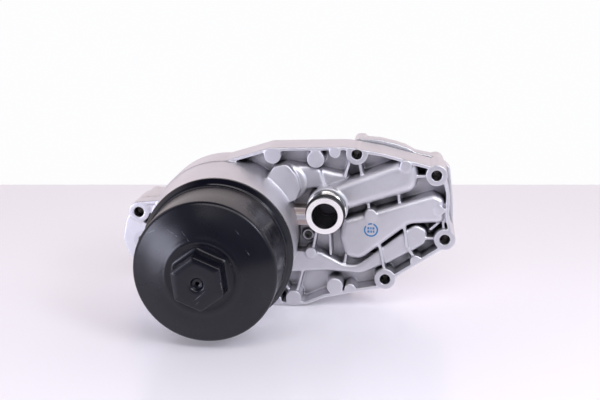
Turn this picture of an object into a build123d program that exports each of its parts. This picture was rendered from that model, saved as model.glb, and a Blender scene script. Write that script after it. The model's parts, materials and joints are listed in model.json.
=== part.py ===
"""Engine oil cooler module: filter bowl, plate cooler and coolant pipe in one bolt-on unit.

Millimetres. The unit is drawn lying on its engine face: x runs to the right, y up the front
of the housing, z forward from the engine face. save() stands it up, so that in the finished
part Z is up, X is to the right and the engine lies behind, along +Y. The origin is the oil
outlet on the engine face, which is also the axis of the filter bowl.
"""
from build123d import *
import os
from math import cos, pi, sin

# Depths, counted forward from the engine face
JACKET_D = 28.0                          # depth of the rear casting
GASKET_T = 1.0
SPLIT = JACKET_D + GASKET_T              # back face of the front casting
HOUSING_D = 36.0                         # depth of the front casting
RIM_H = SPLIT + HOUSING_D                # plane of the bolt bosses
POCKET_D = 18.0                          # depth of the open pockets in the front
WEB_T = 6.0
WEB_TOP = RIM_H - POCKET_D
WEB_BACK = WEB_TOP - WEB_T
RIM_T = 3.0                              # wall round the front pockets
DUCT_WALL = 4.0
FEED_TOP = RIM_H - 4.0                   # top of the ducts that bring the oil in
RETURN_TOP = RIM_H - 6.5                 # top of the duct that takes it back

# Running clearances
FIT = 0.05                               # seals, threads and guides
TURN_FIT = 0.1                           # the cap on its thread and on the element's neck
GAP = 0.3                                # between pieces that only face each other

# Fixings
BOLT_HOLE_R = 4.2                        # M8 bolts into the engine
BOSS_R = 8.9
BOLTS = {"top": (107.3, 72.0), "corner": (172.8, 55.7), "right": (181.3, 1.4),
         "low": (132.6, -35.0), "left": (-78.0, 17.4), "lobe": (-86.0, -19.0)}
HOUSING_BOLTS = [BOLTS[name] for name in ("top", "corner", "right", "low", "left")]
DOWEL_R = 5.6
DOWEL_WALL = 1.0
DOWEL_LENGTH = 12.0
SCREW_R = 3.0                            # M6 screws that hold the two castings together
SCREW_HEAD_R = 5.0
SCREW_HEAD_H = 6.0
SCREW_LENGTH = 28.0
SCREW_HOLE_R = 3.3
COUNTERBORE_R = 6.2
COUNTERBORE_D = 7.0
SCREW_POINTS = [(58.0, 58.0), (124.0, 65.5), (160.0, -11.0), (90.2, -43.1), (52.0, -50.0), (-60.0, 15.0)]

# Filter bowl and its cap
BOWL_R = 60.8                            # outside at the rim
BOWL_RIM = 114.0
BOWL_BASE_R = 63.0                       # outside at its foot, which stands off the axis
BOWL_BASE_AT = (-4.5, 1.0)
BOWL_BASE_H = 52.0
BOWL_FLOOR_T = 7.0
BOWL_FLOOR = SPLIT + BOWL_FLOOR_T
BOWL_BORE_R = 53.0
THREAD_R = 55.0
THREAD_LENGTH = 11.5
SEAL_BORE_R = 57.0
SEAL_BORE_D = 10.0
CAP_FLANGE_R = 61.2
CAP_STEP_R = 57.7                        # front edge of the flange's slope
CAP_WALL = 3.5
CAP_WALL_R = 56.0                        # outside of the wall where it leaves the flange
CAP_EDGE_R = 55.2                        # outside of the wall at the dome
DOME_RISE = 13.5
DOME_RIDGE_R = 27.0
DOME_EDGE_R = 3.0                        # rounding between the wall and the dome
HEX_AF = 37.0
HEX_RISE = 15.0                          # hexagon's height above the dome
HEX_TURN = 7.0                           # degrees from point up
DIMPLE_R = 5.2
DIMPLE_D = 2.5
O_RING_R = 2.0                           # section of the cap's seal
GROOVE_R = SEAL_BORE_R - 2 * O_RING_R - 0.1
GROOVE_MID = BOWL_RIM - 4.2
CAP_SOCKET_R = 24.0                      # socket in the dome for the element's neck
CAP_SOCKET_T = 3.0

# Filter element, standpipe and valves
MEDIA_R = 42.0
MEDIA_BORE_R = 21.0
MEDIA_BASE = 48.0
MEDIA_LENGTH = 94.0
MEDIA_END = MEDIA_BASE + MEDIA_LENGTH
MEDIA_T = 0.8
PLEATS = 44
PLATE_T = 3.0
CAGE_R = 20.2
CAGE_WALL = 2.0
NECK_R = 23.9
NECK_WALL = 2.4
NECK_LENGTH = 14.0
PIPE_R = 15.0                            # standpipe
PIPE_WALL = 3.5
PIPE_TOP = 82.0
OUTLET_R = 12.0
BYPASS_SEAT_R = 8.5
VALVE_LIP = 2.5                          # how far a valve disc overlaps its seat
VALVE_T = 2.0
STEM_R = 2.5
WIRE_R = 0.6
INLET = (70.0, -42.0)
INLET_R = 7.0
CHECK_SEAT_H = 8.0                       # depth of the inlet port in front of its valve seat
CHECK_SEAT_T = 2.0
GUIDE_T = 3.0
CUP_FLOOR_T = 2.5
SPRING_R = 6.5
CUP_R = 16.0
CUP_D = 22.0
CAGE_WEB = 6.0
CAGE_ROWS = 4
CAP_SOCKET_LOW = MEDIA_END + PLATE_T + 2.0
CAP_EDGE_H = MEDIA_END + PLATE_T + NECK_LENGTH + 6.0
HEX_H = CAP_EDGE_H + DOME_RISE + HEX_RISE
SEAL_PROUD = 0.6                         # how far the port seals stand out of the engine face

# Cooler
STACK_X, STACK_Y = 68.0, 70.0
STACK_AT = (114.0, 19.0)
STACK_R = 9.0
PLATES = 9
PLATE_PITCH = 3.2
BASE_T = 3.0
COOLER_SCREW_R = 2.5
EAR_R = 6.0
EARS = [(73.0, 8.0), (73.0, 46.0), (153.0, 8.0), (153.0, 40.0)]
CAVITY_GAP = 3.0
JACKET_WALL = 4.0
WAIST = 3.0                              # how far the jacket steps in between its two flanges
WAIST_LOW, WAIST_TOP = 11.0, 17.0
REAR_STEP = 2.5                          # how far the engine flange stays inside the front one
REAR_BOSS_R = 7.2
RELIEF_WALL = 7.0
RELIEF_RIBS = 7                          # straight ribs through the oil outlet
RELIEF_TURN = 12.0
RELIEF_RINGS = [37.0, 65.0, 92.0]        # round ribs about the oil outlet
RELIEF_MIN = 60.0                        # smallest pocket worth casting, in square millimetres
SEAT_T = 8.0                             # thickness left in front of the pockets
PORT_R = 5.0
PORTS = {"oil_out": (88.0, 47.0), "coolant_in": (104.0, 3.0),
         "oil_in": (139.0, -9.0), "coolant_out": (139.0, 46.5)}
OIL_FEED = [(74.0, -23.0), (104.0, -28.5), PORTS["oil_in"]]
COOLANT_INLET = (171.0, 27.0)
COOLANT_INLET_R = 5.0

# Coolant pipe
TUBE_AT = (83.5, 26.0)
TUBE_R = 15.3
TUBE_BORE_R = 10.3
TUBE_END = RIM_H + 27.0
TUBE_BOSS_R = 17.3
TUBE_BOSS_H = RIM_H + 2.0
TUBE_PRESS_R = 13.0
TUBE_PRESS_D = 14.0
TUBE_RING_R = 1.9
TUBE_GROOVE_R = 12.6
TUBE_GROOVE_L = 4.2
TUBE_GROOVE_TOP = 5.4                    # from the pipe's end to its seal groove

# Outlines seen from the front: corners as x, y, radius
RIM_OUTLINE = [(-6.5, 62.9, 0), (34, 75.6, 8), (98, 78.0, 30), (128, 73.4, 12), (167, 63.6, 3),
               (180.5, 54, 4), (184.2, 40, 12), (184.0, 20, 10), (189.5, 0, 3), (177.5, -8.6, 3),
               (142, -32.8, 3), (137, -42, 3), (112, -46.8, 20), (81, -53.8, 8), (66, -60.8, 8),
               (34, -62.6, 6), (0, -60, 0)]
JACKET_OUTLINE = [(-61, 27.5, 6), (-76, 26.6, 8), (-88, 20.5, 8), (-101, 0, 10), (-104.5, -19, 10),
                  (-98, -37, 10), (-50, -52, 10), (0, -59, 0), (40, -62.5, 4), (70, -60, 8),
                  (82, -62.6, 4), (101, -62.6, 4), (105, -54, 6), (130, -47, 6), (166, -24, 8),
                  (190, -12, 9), (189, 23, 20), (185.0, 55, 5), (175, 63.4, 6), (156, 67, 5),
                  (148, 71.5, 5), (138, 74.5, 8), (124, 77.6, 6), (104, 78, 4), (101, 69, 3),
                  (34, 67, 6), (0, 58, 0)]
FOOT = 62.6                              # lowest level of both castings
DUCT_A = [(84, 43.5, 2), (143, 67.0, 8), (158, 66.2, 9), (157.6, 42.6, 11), (88, 20.0, 2)]
DUCT_B = [(96, 14.8, 5), (171, 39.6, 6), (180, 35.6, 6), (179.8, 15.6, 4), (152, 13.6, 14),
          (112, -18.4, 9), (99, -16.6, 8), (93.8, 0, 10)]
DUCT_C = [(52, -13.8, 0), (77, -13.8, 8), (98, -24.6, 10), (109, -24.6, 12), (150, 8.0, 6),
          (157, 12.8, 6), (167, 8, 6), (166, -4, 5), (157, -9.8, 8), (136, -22, 20),
          (112, -32.8, 14), (84, -31, 20), (46, -34, 0)]
DUCT_D = [(46, 61, 4), (66, 60.6, 5), (77.5, 57.6, 3), (82, 43, 2), (46, 36, 0)]
DUCT_E = [(64, 59.6, 4), (77, 58.6, 6), (88, 55.6, 5), (101, 54.0, 4), (101, 42, 2), (64, 40, 0)]
PAD_K = [(33.0, 51.8, 2), (38.5, 60.2, 4), (50.0, 63.2, 6), (58.2, 53, 9), (61.2, 41, 5),
         (57.6, 32.8, 4), (51.6, 30.0, 1.5)]
# Small round pads left by the casting die: x, y, radius, height above the rim plane
PADS = [(37.4, 69.4, 7.1, 0.4), (73.4, 66.9, 7.3, 0.4), (89.3, 73.0, 4.8, 0.4),
        (147.5, 63.3, 5.0, 1.4), (175.9, 26.2, 4.2, 0.4), (119.6, 20.6, 5.2, 0.2),
        (158.1, -18.4, 5.0, 0.2), (55.0, -55.1, 6.9, 0.4), (90.2, -43.1, 7.1, 0.2),
        (103.3, -45.5, 5.0, 0.0), (69.5, -14.6, 4.8, -1.0), (41.7, -57.1, 3.0, 0.2),
        (-67.0, 21.6, 5.6, -1.0), (-56.5, 25.0, 3.0, -4.0)]
# Thin ribs: two ends and the height below the rim plane
RIBS = [((74.4, 6.0), (70.5, -14.5), 4.0), ((84.6, 10.0), (86.2, -16.0), 5.0),
        ((98.0, -24.0), (99.5, -14.0), 6.0), ((126.6, -3.0), (131.8, -27.0), 1.6),
        ((147.1, 15.0), (150.1, -6.3), 1.6), ((150.1, -6.3), (157.0, -17.0), 3.0),
        ((164.0, 0.5), (175.0, 1.2), 4.0), ((169.5, 8.6), (176.5, 15.0), 5.0),
        ((179.7, 20.0), (180.2, 8.0), 4.0),
        ((101.6, 66.0), (97.6, 52.0), 3.0), ((109.6, 64.0), (112.0, 52.0), 3.0),
        ((117.2, 30.0), (118.2, 19.0), 4.0), ((142.2, 38.0), (143.3, 27.0), 4.0),
        ((156.0, 54.0), (166.0, 54.3), 2.0), ((62.4, -31.0), (57.6, -50.0), 4.0),
        ((47.0, -44.0), (51.0, -50.0), 4.0)]
RIB_T = 2.4
LUG_ROOT = ((-52.0, 12.0), 17.0)         # where the left lug meets the bowl
LUG_T = 17.0
LUG_BACK = RIM_H - LUG_T                 # where the lug rests on the rear casting's horn
DOWELS = [(BOLTS["left"], LUG_BACK), (BOLTS["right"], SPLIT)]
OIL_RETURN = (38.0, 38.0)                # where the cooled oil enters the bowl
OIL_RETURN_W = 9.0
BLOCK_AT, BLOCK_X, BLOCK_Y = (61.0, 16.5), 17.0, 15.0
BLOCK_STEP = 2.5
PLUG_AT = (66.0, -2.0)
PLUG_R = 2.8


def outline(corners):
    """Flat outline through corners given as x, y, radius."""
    face = make_face(Polyline(*[(x, y) for x, y, _ in corners], close=True))
    for x, y, radius in corners:
        if radius:
            corner = face.vertices().sort_by_distance((x, y, 0))[0]
            face = fillet(corner, radius)
    return face


def slab(face, low, high, taper=0):
    """The face extruded from one height to another."""
    return Pos(0, 0, low) * extrude(face, high - low, taper=taper)


def disc(at, radius, low, high):
    """A cylinder standing at a point, from one height to another."""
    return slab(Pos(*at) * Circle(radius), low, high)


def ring(at, outer, inner, low, high):
    """A tube standing at a point."""
    return disc(at, outer, low, high) - disc(at, inner, low, high)


def channel(start, end, width, low, high):
    """A straight passage with round ends between two points."""
    run = Vector(*end) - Vector(*start)
    middle = (Vector(*start) + Vector(*end)) * 0.5
    turn = Vector(1, 0, 0).get_signed_angle(run, Vector(0, 0, 1))
    return slab(Pos(middle.X, middle.Y) * Rot(0, 0, turn) * SlotCenterToCenter(run.length, width), low, high)


def soften(solid, radius, height):
    """Round the edges that lie at one height."""
    edges = [e for e in solid.edges() if abs(e.bounding_box().min.Z - height) < 1e-3
             and abs(e.bounding_box().max.Z - height) < 1e-3]
    return fillet(edges, radius)


def hull(circles):
    """The tight outline round circles given as point and radius."""
    edges = [edge for at, radius in circles for edge in (Pos(*at) * Circle(radius)).edges()]
    return make_face(make_hull(edges).edges())


def spring(at, radius, low, high, turns):
    """A compression spring with its wire just inside both ends."""
    rise = high - low - 2 * WIRE_R
    path = Helix(pitch=rise / turns, height=rise, radius=radius)
    section = Plane(origin=path @ 0, z_dir=path % 0) * Circle(WIRE_R)
    return Pos(at[0], at[1], low + WIRE_R) * sweep(section, path=path, is_frenet=True)


def lug_outline():
    """Lug for the left bolt."""
    return hull([(BOLTS["left"], BOSS_R), LUG_ROOT])


def horn_outline(gap=0):
    """Horn of the rear casting under the left lug, at a distance from the bowl."""
    return lug_outline() - Pos(*BOWL_BASE_AT) * Circle(BOWL_BASE_R + gap)


def housing_outline():
    """Front casting seen from the front, without the bore of the bowl."""
    face = outline(RIM_OUTLINE) + Pos(*BOWL_BASE_AT) * Circle(BOWL_BASE_R) + lug_outline()
    for name in ("corner", "right", "low"):
        face += Pos(*BOLTS[name]) * Circle(BOSS_R)
    return face


def jacket_outline():
    """Rear casting seen from the front."""
    face = outline(JACKET_OUTLINE) + Circle(FOOT - 2)
    for name in ("right", "low", "lobe"):
        face += Pos(*BOLTS[name]) * Circle(BOSS_R)
    return face


def cavity_outline(extra):
    """Room for the cooler: its stack and its ears, grown by a margin."""
    half_x, half_y = STACK_X / 2 - STACK_R, STACK_Y / 2 - STACK_R
    corners = [((STACK_AT[0] + i * half_x, STACK_AT[1] + j * half_y), STACK_R + extra)
               for i in (-1, 1) for j in (-1, 1)]
    return hull(corners + [(ear, EAR_R + extra) for ear in EARS])


def make_housing():
    """Front casting with bowl, ducts, bosses, pads and ribs."""
    face = housing_outline()
    body = slab(face, SPLIT, RIM_H)
    bowl_foot = Pos(*BOWL_BASE_AT) * Circle(BOWL_BASE_R)
    pocket = offset(face, amount=-RIM_T) - bowl_foot
    body -= slab(pocket, WEB_TOP, RIM_H)
    body += slab(bowl_foot, SPLIT, BOWL_BASE_H)
    body += loft([Pos(0, 0, BOWL_BASE_H) * bowl_foot, Pos(0, 0, BOWL_RIM) * Circle(BOWL_R)])

    inside = slab(face, WEB_BACK, RIM_H + 30)
    duct_a = soften(slab(outline(DUCT_A), WEB_TOP - 1, RIM_H + 1), 7.5, RIM_H + 1)
    duct_b = soften(slab(outline(DUCT_B), WEB_TOP - 1, RIM_H), 4.5, RIM_H)
    duct_c = soften(slab(outline(DUCT_C), WEB_TOP - 1, FEED_TOP), 3, FEED_TOP)
    duct_d = soften(slab(outline(DUCT_D), WEB_TOP - 1, RIM_H - 4), 3.5, RIM_H - 4)
    duct_e = soften(slab(outline(DUCT_E), WEB_TOP - 1, RETURN_TOP), 5, RETURN_TOP)
    shoulder = soften(disc((51, 46), 16, WEB_TOP - 1, RIM_H - 2), 5, RIM_H - 2)
    pad_k = soften(slab(outline(PAD_K), WEB_TOP - 1, RIM_H + 3), 0.8, RIM_H + 3)
    tube_boss = disc(TUBE_AT, TUBE_BOSS_R, WEB_TOP - 1, TUBE_BOSS_H)
    for piece in (duct_a, duct_b, duct_c, duct_d, duct_e, shoulder, pad_k, tube_boss):
        body += piece & inside
    for start, end, drop in RIBS:
        body += channel(start, end, RIB_T, WEB_TOP - 1, RIM_H - drop) & inside
    for x, y, radius, proud in PADS:
        body += disc((x, y), radius, WEB_TOP - 1, RIM_H + proud) & inside
    for at in HOUSING_BOLTS:
        body += disc(at, BOSS_R, SPLIT, RIM_H + 0.3) & inside
    body += slab(Pos(*BLOCK_AT) * Rectangle(BLOCK_X, BLOCK_Y), WEB_TOP - 1, RIM_H - 5)
    body += slab(Pos(*BLOCK_AT) * Rectangle(BLOCK_X, BLOCK_Y / 3), WEB_TOP - 1, RIM_H - 5 + BLOCK_STEP)
    body += disc(PLUG_AT, PLUG_R + 2.2, WEB_TOP - 1, WEB_TOP + 4)

    body -= slab(horn_outline(), SPLIT, LUG_BACK)

    # Bore of the bowl, its thread and its seal bore
    body -= disc((0, 0), BOWL_BORE_R, BOWL_FLOOR, BOWL_RIM)
    body -= disc((0, 0), THREAD_R + TURN_FIT, BOWL_RIM - SEAL_BORE_D - THREAD_LENGTH - 2.5, BOWL_RIM)
    body -= disc((0, 0), SEAL_BORE_R, BOWL_RIM - SEAL_BORE_D, BOWL_RIM)
    body -= disc((0, 0), PIPE_R - 2 + FIT, SPLIT, BOWL_FLOOR)

    # Room for the cooler, with the passages that its four ports open into
    body -= slab(cavity_outline(CAVITY_GAP), SPLIT, WEB_BACK)
    for corners in (DUCT_A, DUCT_B):
        body -= slab(offset(outline(corners), amount=-DUCT_WALL), WEB_BACK, RIM_H - DUCT_WALL - 1)
    for start, end in zip(OIL_FEED, OIL_FEED[1:]):
        body -= channel(start, end, 8, WEB_BACK, FEED_TOP - DUCT_WALL)
    body -= disc(TUBE_AT, TUBE_BORE_R, WEB_TOP, RIM_H)
    body -= disc(TUBE_AT, TUBE_PRESS_R + FIT, TUBE_BOSS_H - TUBE_PRESS_D, TUBE_BOSS_H)
    body -= channel(PORTS["oil_out"], OIL_RETURN, OIL_RETURN_W, WEB_BACK + 2, RETURN_TOP - DUCT_WALL)
    body -= disc(PORTS["oil_out"], PORT_R, WEB_BACK, WEB_TOP)
    body -= disc(COOLANT_INLET, COOLANT_INLET_R + 0.5, SPLIT, WEB_TOP)
    body -= channel(INLET, OIL_FEED[0], 2 * PORT_R, SPLIT, WEB_BACK - 2)
    body -= disc(OIL_FEED[0], 4, SPLIT, WEB_TOP)

    # Fixings
    for at in HOUSING_BOLTS:
        body -= disc(at, BOLT_HOLE_R, SPLIT, RIM_H + 1)
    for at, seam in DOWELS:
        body -= disc(at, DOWEL_R + FIT, seam, seam + DOWEL_LENGTH / 2)
    for at in SCREW_POINTS:
        body -= disc(at, SCREW_R + FIT, SPLIT, COUNTERBORE_D + SCREW_LENGTH + 2)
    for ear in EARS:
        body -= disc(ear, COOLER_SCREW_R + FIT, WEB_BACK, WEB_TOP - 1)
    body -= disc(PLUG_AT, PLUG_R + FIT, WEB_TOP, WEB_TOP + 4)
    return body


def relief_outline(face):
    """Open pockets in the engine side, left between the wall, the bosses and the ribs."""
    relief = offset(face, amount=-RELIEF_WALL) - cavity_outline(CAVITY_GAP + JACKET_WALL)
    for at, radius in SEALS.values():
        relief -= Pos(*at) * Circle(radius + 3 + JACKET_WALL)
    for at in BOLTS.values():
        relief -= Pos(*at) * Circle(BOSS_R)
    for at in SCREW_POINTS:
        relief -= Pos(*at) * Circle(COUNTERBORE_R + JACKET_WALL)
    for index in range(RELIEF_RIBS):
        relief -= Rot(0, 0, RELIEF_TURN + index * 180 / RELIEF_RIBS) * Rectangle(500, RIB_T)
    for radius in RELIEF_RINGS:
        relief -= Circle(radius + RIB_T / 2) - Circle(radius - RIB_T / 2)
    return Sketch() + [part for part in relief.faces() if part.area > RELIEF_MIN]


def make_jacket():
    """Rear casting: two flanges with a waist, the room for the cooler and the engine ports."""
    face = jacket_outline()
    waist = offset(face, amount=-WAIST)
    rear = offset(face, amount=-REAR_STEP)
    body = slab(face, 0, JACKET_D) - slab(face - waist, WAIST_LOW, WAIST_TOP)
    body -= slab(face - rear, 0, WAIST_LOW)
    for at in BOLTS.values():
        body += disc(at, REAR_BOSS_R, 0, WAIST_TOP) & slab(face, 0, JACKET_D)
    body += slab(horn_outline(GAP), JACKET_D - WEB_T, LUG_BACK)
    body -= slab(cavity_outline(CAVITY_GAP), JACKET_WALL, JACKET_D)
    body -= slab(relief_outline(face), 0, JACKET_D - SEAT_T)
    body -= disc((0, 0), OUTLET_R, 0, JACKET_D)
    body -= disc(COOLANT_INLET, COOLANT_INLET_R, 0, JACKET_D)
    body -= disc(INLET, INLET_R, 0, JACKET_D)
    body -= disc(INLET, INLET_R + VALVE_LIP + 1, CHECK_SEAT_H, JACKET_D)
    for at, radius in SEALS.values():
        body -= ring(at, radius + 3.0, radius, 0, 2.0)
    for at in BOLTS.values():
        body -= disc(at, BOLT_HOLE_R, 0, LUG_BACK)
    for at, seam in DOWELS:
        body -= disc(at, DOWEL_R + FIT, seam - DOWEL_LENGTH / 2, seam)
    for at in SCREW_POINTS:
        body -= disc(at, SCREW_HOLE_R, 0, JACKET_D)
        body -= disc(at, COUNTERBORE_R, 0, COUNTERBORE_D)
    return body


def make_gasket():
    """Sheet between the two castings, open at the cooler, the ports and the fixings."""
    face = (housing_outline() & jacket_outline())
    face -= horn_outline()
    body = slab(face, JACKET_D, SPLIT) - slab(cavity_outline(CAVITY_GAP), JACKET_D, SPLIT)
    body -= disc((0, 0), OUTLET_R + 0.5, JACKET_D, SPLIT)
    body -= disc(COOLANT_INLET, COOLANT_INLET_R + 0.5, JACKET_D, SPLIT)
    body -= channel(INLET, OIL_FEED[0], 2 * PORT_R, JACKET_D, SPLIT)
    body -= disc(INLET, INLET_R + VALVE_LIP + 1, JACKET_D, SPLIT)
    for at in HOUSING_BOLTS:
        body -= disc(at, BOLT_HOLE_R, JACKET_D, SPLIT)
    body -= disc(BOLTS["right"], DOWEL_R + FIT, JACKET_D, SPLIT)
    for at in SCREW_POINTS:
        body -= disc(at, SCREW_HOLE_R, JACKET_D, SPLIT)
    return body


def socket_screw(at, radius, head_r, head_h, low, length):
    """Socket head screw with its head at the bottom and its shank upwards."""
    socket = slab(Pos(*at) * RegularPolygon(head_r * 0.55, 6), low, low + head_h / 2)
    head = disc(at, head_r, low, low + head_h) - socket
    return head + disc(at, radius, low + head_h, low + head_h + length)


def make_coolant_pipe():
    """Turned spigot: press end, base flange, two collars and the seal groove between them."""
    seat = TUBE_BOSS_H
    profile = Polyline((TUBE_BORE_R, seat - TUBE_PRESS_D + 1), (TUBE_PRESS_R, seat - TUBE_PRESS_D + 1),
                       (TUBE_PRESS_R, seat), (TUBE_R + 1, seat), (TUBE_R + 1, seat + 3.5),
                       (TUBE_R - 1.4, seat + 4.5), (TUBE_R - 1.4, TUBE_END - 16), (TUBE_R, TUBE_END - 15),
                       (TUBE_R, TUBE_END - TUBE_GROOVE_TOP - TUBE_GROOVE_L),
                       (TUBE_GROOVE_R, TUBE_END - TUBE_GROOVE_TOP - TUBE_GROOVE_L),
                       (TUBE_GROOVE_R, TUBE_END - TUBE_GROOVE_TOP), (TUBE_R, TUBE_END - TUBE_GROOVE_TOP),
                       (TUBE_R, TUBE_END - 0.8), (TUBE_R - 0.8, TUBE_END), (TUBE_BORE_R + 1, TUBE_END),
                       (TUBE_BORE_R, TUBE_END - 1), close=True)
    return Pos(*TUBE_AT) * turned(profile)


def turned(profile):
    """Solid of revolution about the z axis from a closed profile of radius and height."""
    return revolve(Plane.XZ * make_face(profile), Axis.Z)


def torus(at, outer, section, height):
    """Seal ring of round section, given by its outer radius."""
    return Pos(*at, height) * Torus(outer - section, section)


def make_stack():
    """Brazed stack: each plate is a dished tray with a standing lip."""
    body = None
    for index in range(PLATES):
        low = WEB_BACK - BASE_T - (index + 1) * PLATE_PITCH
        lip = RectangleRounded(STACK_X, STACK_Y, STACK_R)
        tray = RectangleRounded(STACK_X - 2.4, STACK_Y - 2.4, STACK_R - 1.2)
        plate = slab(Pos(*STACK_AT) * tray, low, low + PLATE_PITCH - 1)
        plate += slab(Pos(*STACK_AT) * lip, low + PLATE_PITCH - 1, low + PLATE_PITCH)
        body = plate if body is None else body + plate
    low = WEB_BACK - BASE_T - PLATES * PLATE_PITCH
    for at in PORTS.values():
        body -= disc(at, PORT_R, low + PLATE_PITCH, WEB_BACK - BASE_T)
    return body


def make_base_plate():
    """Cooler's mounting plate with its four ports and four ears."""
    body = slab(cavity_outline(0), WEB_BACK - BASE_T, WEB_BACK)
    for at in PORTS.values():
        body -= disc(at, PORT_R, WEB_BACK - BASE_T, WEB_BACK)
        body -= ring(at, PORT_R + 3, PORT_R + 1, WEB_BACK - 1.5, WEB_BACK)
    for ear in EARS:
        body -= disc(ear, COOLER_SCREW_R + 0.3, WEB_BACK - BASE_T, WEB_BACK)
    return body


def make_cap():
    """Screw cap: threaded skirt, seal groove, flange, domed end with its hexagon."""
    top = CAP_EDGE_H + DOME_RISE
    flange = BOWL_RIM + GAP
    groove = GROOVE_MID
    skirt_end = BOWL_RIM - SEAL_BORE_D - THREAD_LENGTH
    land = SEAL_BORE_R - 2 * TURN_FIT
    inner = THREAD_R - CAP_WALL - 0.5
    lines = Polyline((inner, skirt_end), (THREAD_R - 0.8, skirt_end), (THREAD_R, skirt_end + 0.8),
                     (THREAD_R, skirt_end + THREAD_LENGTH + 0.4), (land, skirt_end + THREAD_LENGTH + 0.8),
                     (land, groove - O_RING_R - 0.1), (GROOVE_R, groove - O_RING_R - 0.1),
                     (GROOVE_R, groove + O_RING_R + 0.1), (land, groove + O_RING_R + 0.1),
                     (land, flange), (CAP_FLANGE_R - 0.5, flange), (CAP_FLANGE_R, flange + 0.5),
                     (CAP_FLANGE_R, flange + 3.4), (CAP_FLANGE_R - 0.7, flange + 4.4),
                     (CAP_STEP_R + 0.6, flange + 7.2), (CAP_STEP_R, flange + 7.7),
                     (CAP_WALL_R + 1.4, flange + 7.9), (CAP_WALL_R + 0.4, flange + 8.9),
                     (CAP_WALL_R, flange + 10.4), (CAP_EDGE_R, CAP_EDGE_H))
    edge = ThreePointArc((CAP_EDGE_R, CAP_EDGE_H),
                         (CAP_EDGE_R - 0.3 * DOME_EDGE_R, CAP_EDGE_H + 0.65 * DOME_EDGE_R),
                         (CAP_EDGE_R - DOME_EDGE_R, CAP_EDGE_H + 1.04 * DOME_EDGE_R))
    dome = Spline(edge @ 1, (DOME_RIDGE_R + 4.5, top - 2.2), tangents=[edge % 1, (-1, 0.12)])
    ridge = ThreePointArc(dome @ 1, (DOME_RIDGE_R, top - 0.7), (DOME_RIDGE_R - 4.5, top - 0.9))
    crown = Line(ridge @ 1, (0, top))
    inside = Polyline((0, top), (0, top - CAP_WALL), (CAP_SOCKET_R, top - CAP_WALL),
                      (CAP_SOCKET_R, CAP_SOCKET_LOW), (CAP_SOCKET_R + CAP_SOCKET_T, CAP_SOCKET_LOW),
                      (CAP_SOCKET_R + CAP_SOCKET_T, top - CAP_WALL - 1.2), (CAP_EDGE_R - 8, CAP_EDGE_H - 0.4),
                      (CAP_EDGE_R - CAP_WALL - 0.4, CAP_EDGE_H - 5), (inner, flange + 4), (inner, skirt_end))
    body = turned([piece for line in (lines, edge, dome, ridge, crown, inside) for piece in line.edges()])
    hexagon = RegularPolygon(HEX_AF / 2, 6, major_radius=False, rotation=30 + HEX_TURN)
    hexagon = extrude(hexagon, HEX_RISE + 3)
    hexagon = chamfer(hexagon.faces().sort_by(Axis.Z)[-1].edges(), 1.0)
    body += Pos(0, 0, top - 3) * hexagon
    body -= Pos(0, 0, HEX_H - DIMPLE_D / 2) * Cone(DIMPLE_R - 1.8, DIMPLE_R, DIMPLE_D)
    body -= disc((0, 0), 1.5, HEX_H - 8, HEX_H)
    return body


def make_media():
    """Pleated paper: closed folds outside, with a narrow opening in each fold from inside."""
    pitch = 2 * pi / PLEATS
    outer, inner = [], []
    for index in range(PLEATS):
        angle = index * pitch
        for radius, turn in ((MEDIA_BORE_R + MEDIA_T, -0.46), (MEDIA_R, -0.16), (MEDIA_R, 0.16),
                             (MEDIA_BORE_R + MEDIA_T, 0.46)):
            outer.append((radius * cos(angle + turn * pitch), radius * sin(angle + turn * pitch)))
        for radius, turn in ((MEDIA_BORE_R, -0.2), (MEDIA_R - MEDIA_T, 0), (MEDIA_BORE_R, 0.2)):
            inner.append((radius * cos(angle + turn * pitch), radius * sin(angle + turn * pitch)))
    face = make_face(Polyline(*outer, close=True)) - make_face(Polyline(*inner, close=True))
    return slab(face, MEDIA_BASE, MEDIA_END)


def make_cage():
    """Centre tube of the element with rows of windows."""
    low, high = MEDIA_BASE, MEDIA_END
    body = ring((0, 0), CAGE_R, CAGE_R - CAGE_WALL, low, high)
    pitch = (MEDIA_LENGTH - CAGE_WEB) / CAGE_ROWS
    for row in range(CAGE_ROWS):
        height = low + CAGE_WEB + (row + 0.5) * pitch - CAGE_WEB / 2
        for turn in (0, 60, 120):
            window = Box(3 * CAGE_R, 2 * CAGE_WEB, pitch - CAGE_WEB)
            body -= Pos(0, 0, height) * Rot(0, 0, turn + 30 * (row % 2)) * window
    return body


def make_front_plate():
    """Element's front end: ring, bypass seat, and the slotted neck that clips into the cap."""
    low = MEDIA_END
    body = ring((0, 0), MEDIA_R, BYPASS_SEAT_R, low, low + PLATE_T)
    body += ring((0, 0), NECK_R, NECK_R - NECK_WALL, low + PLATE_T, low + PLATE_T + NECK_LENGTH)
    for turn in (0, 90):
        body -= Pos(0, 0, low + PLATE_T + 3.5) * Rot(0, 0, turn) * Box(3 * NECK_R, 10, 7)
    return body


def make_bypass_cup():
    """Open frame under the bypass seat: three legs and the floor that guides the stem."""
    low = MEDIA_END - CUP_D
    body = ring((0, 0), CUP_R, STEM_R + FIT, low, low + CUP_FLOOR_T)
    leg = Pos(CUP_R - CUP_FLOOR_T / 2, 0) * Rectangle(CUP_FLOOR_T, 6)
    for turn in (0, 120, 240):
        body += Rot(0, 0, turn) * slab(leg, low, MEDIA_END)
    return body


def make_poppet(at, seat_r, face_h, stem_end):
    """Valve disc facing a seat, with the stem that runs in its guide."""
    thick = VALVE_T if stem_end < face_h else -VALVE_T
    low, high = sorted((face_h, face_h - thick))
    stem_low, stem_high = sorted((face_h - thick, stem_end))
    return disc(at, seat_r + VALVE_LIP, low, high) + disc(at, STEM_R, stem_low, stem_high)


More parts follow.
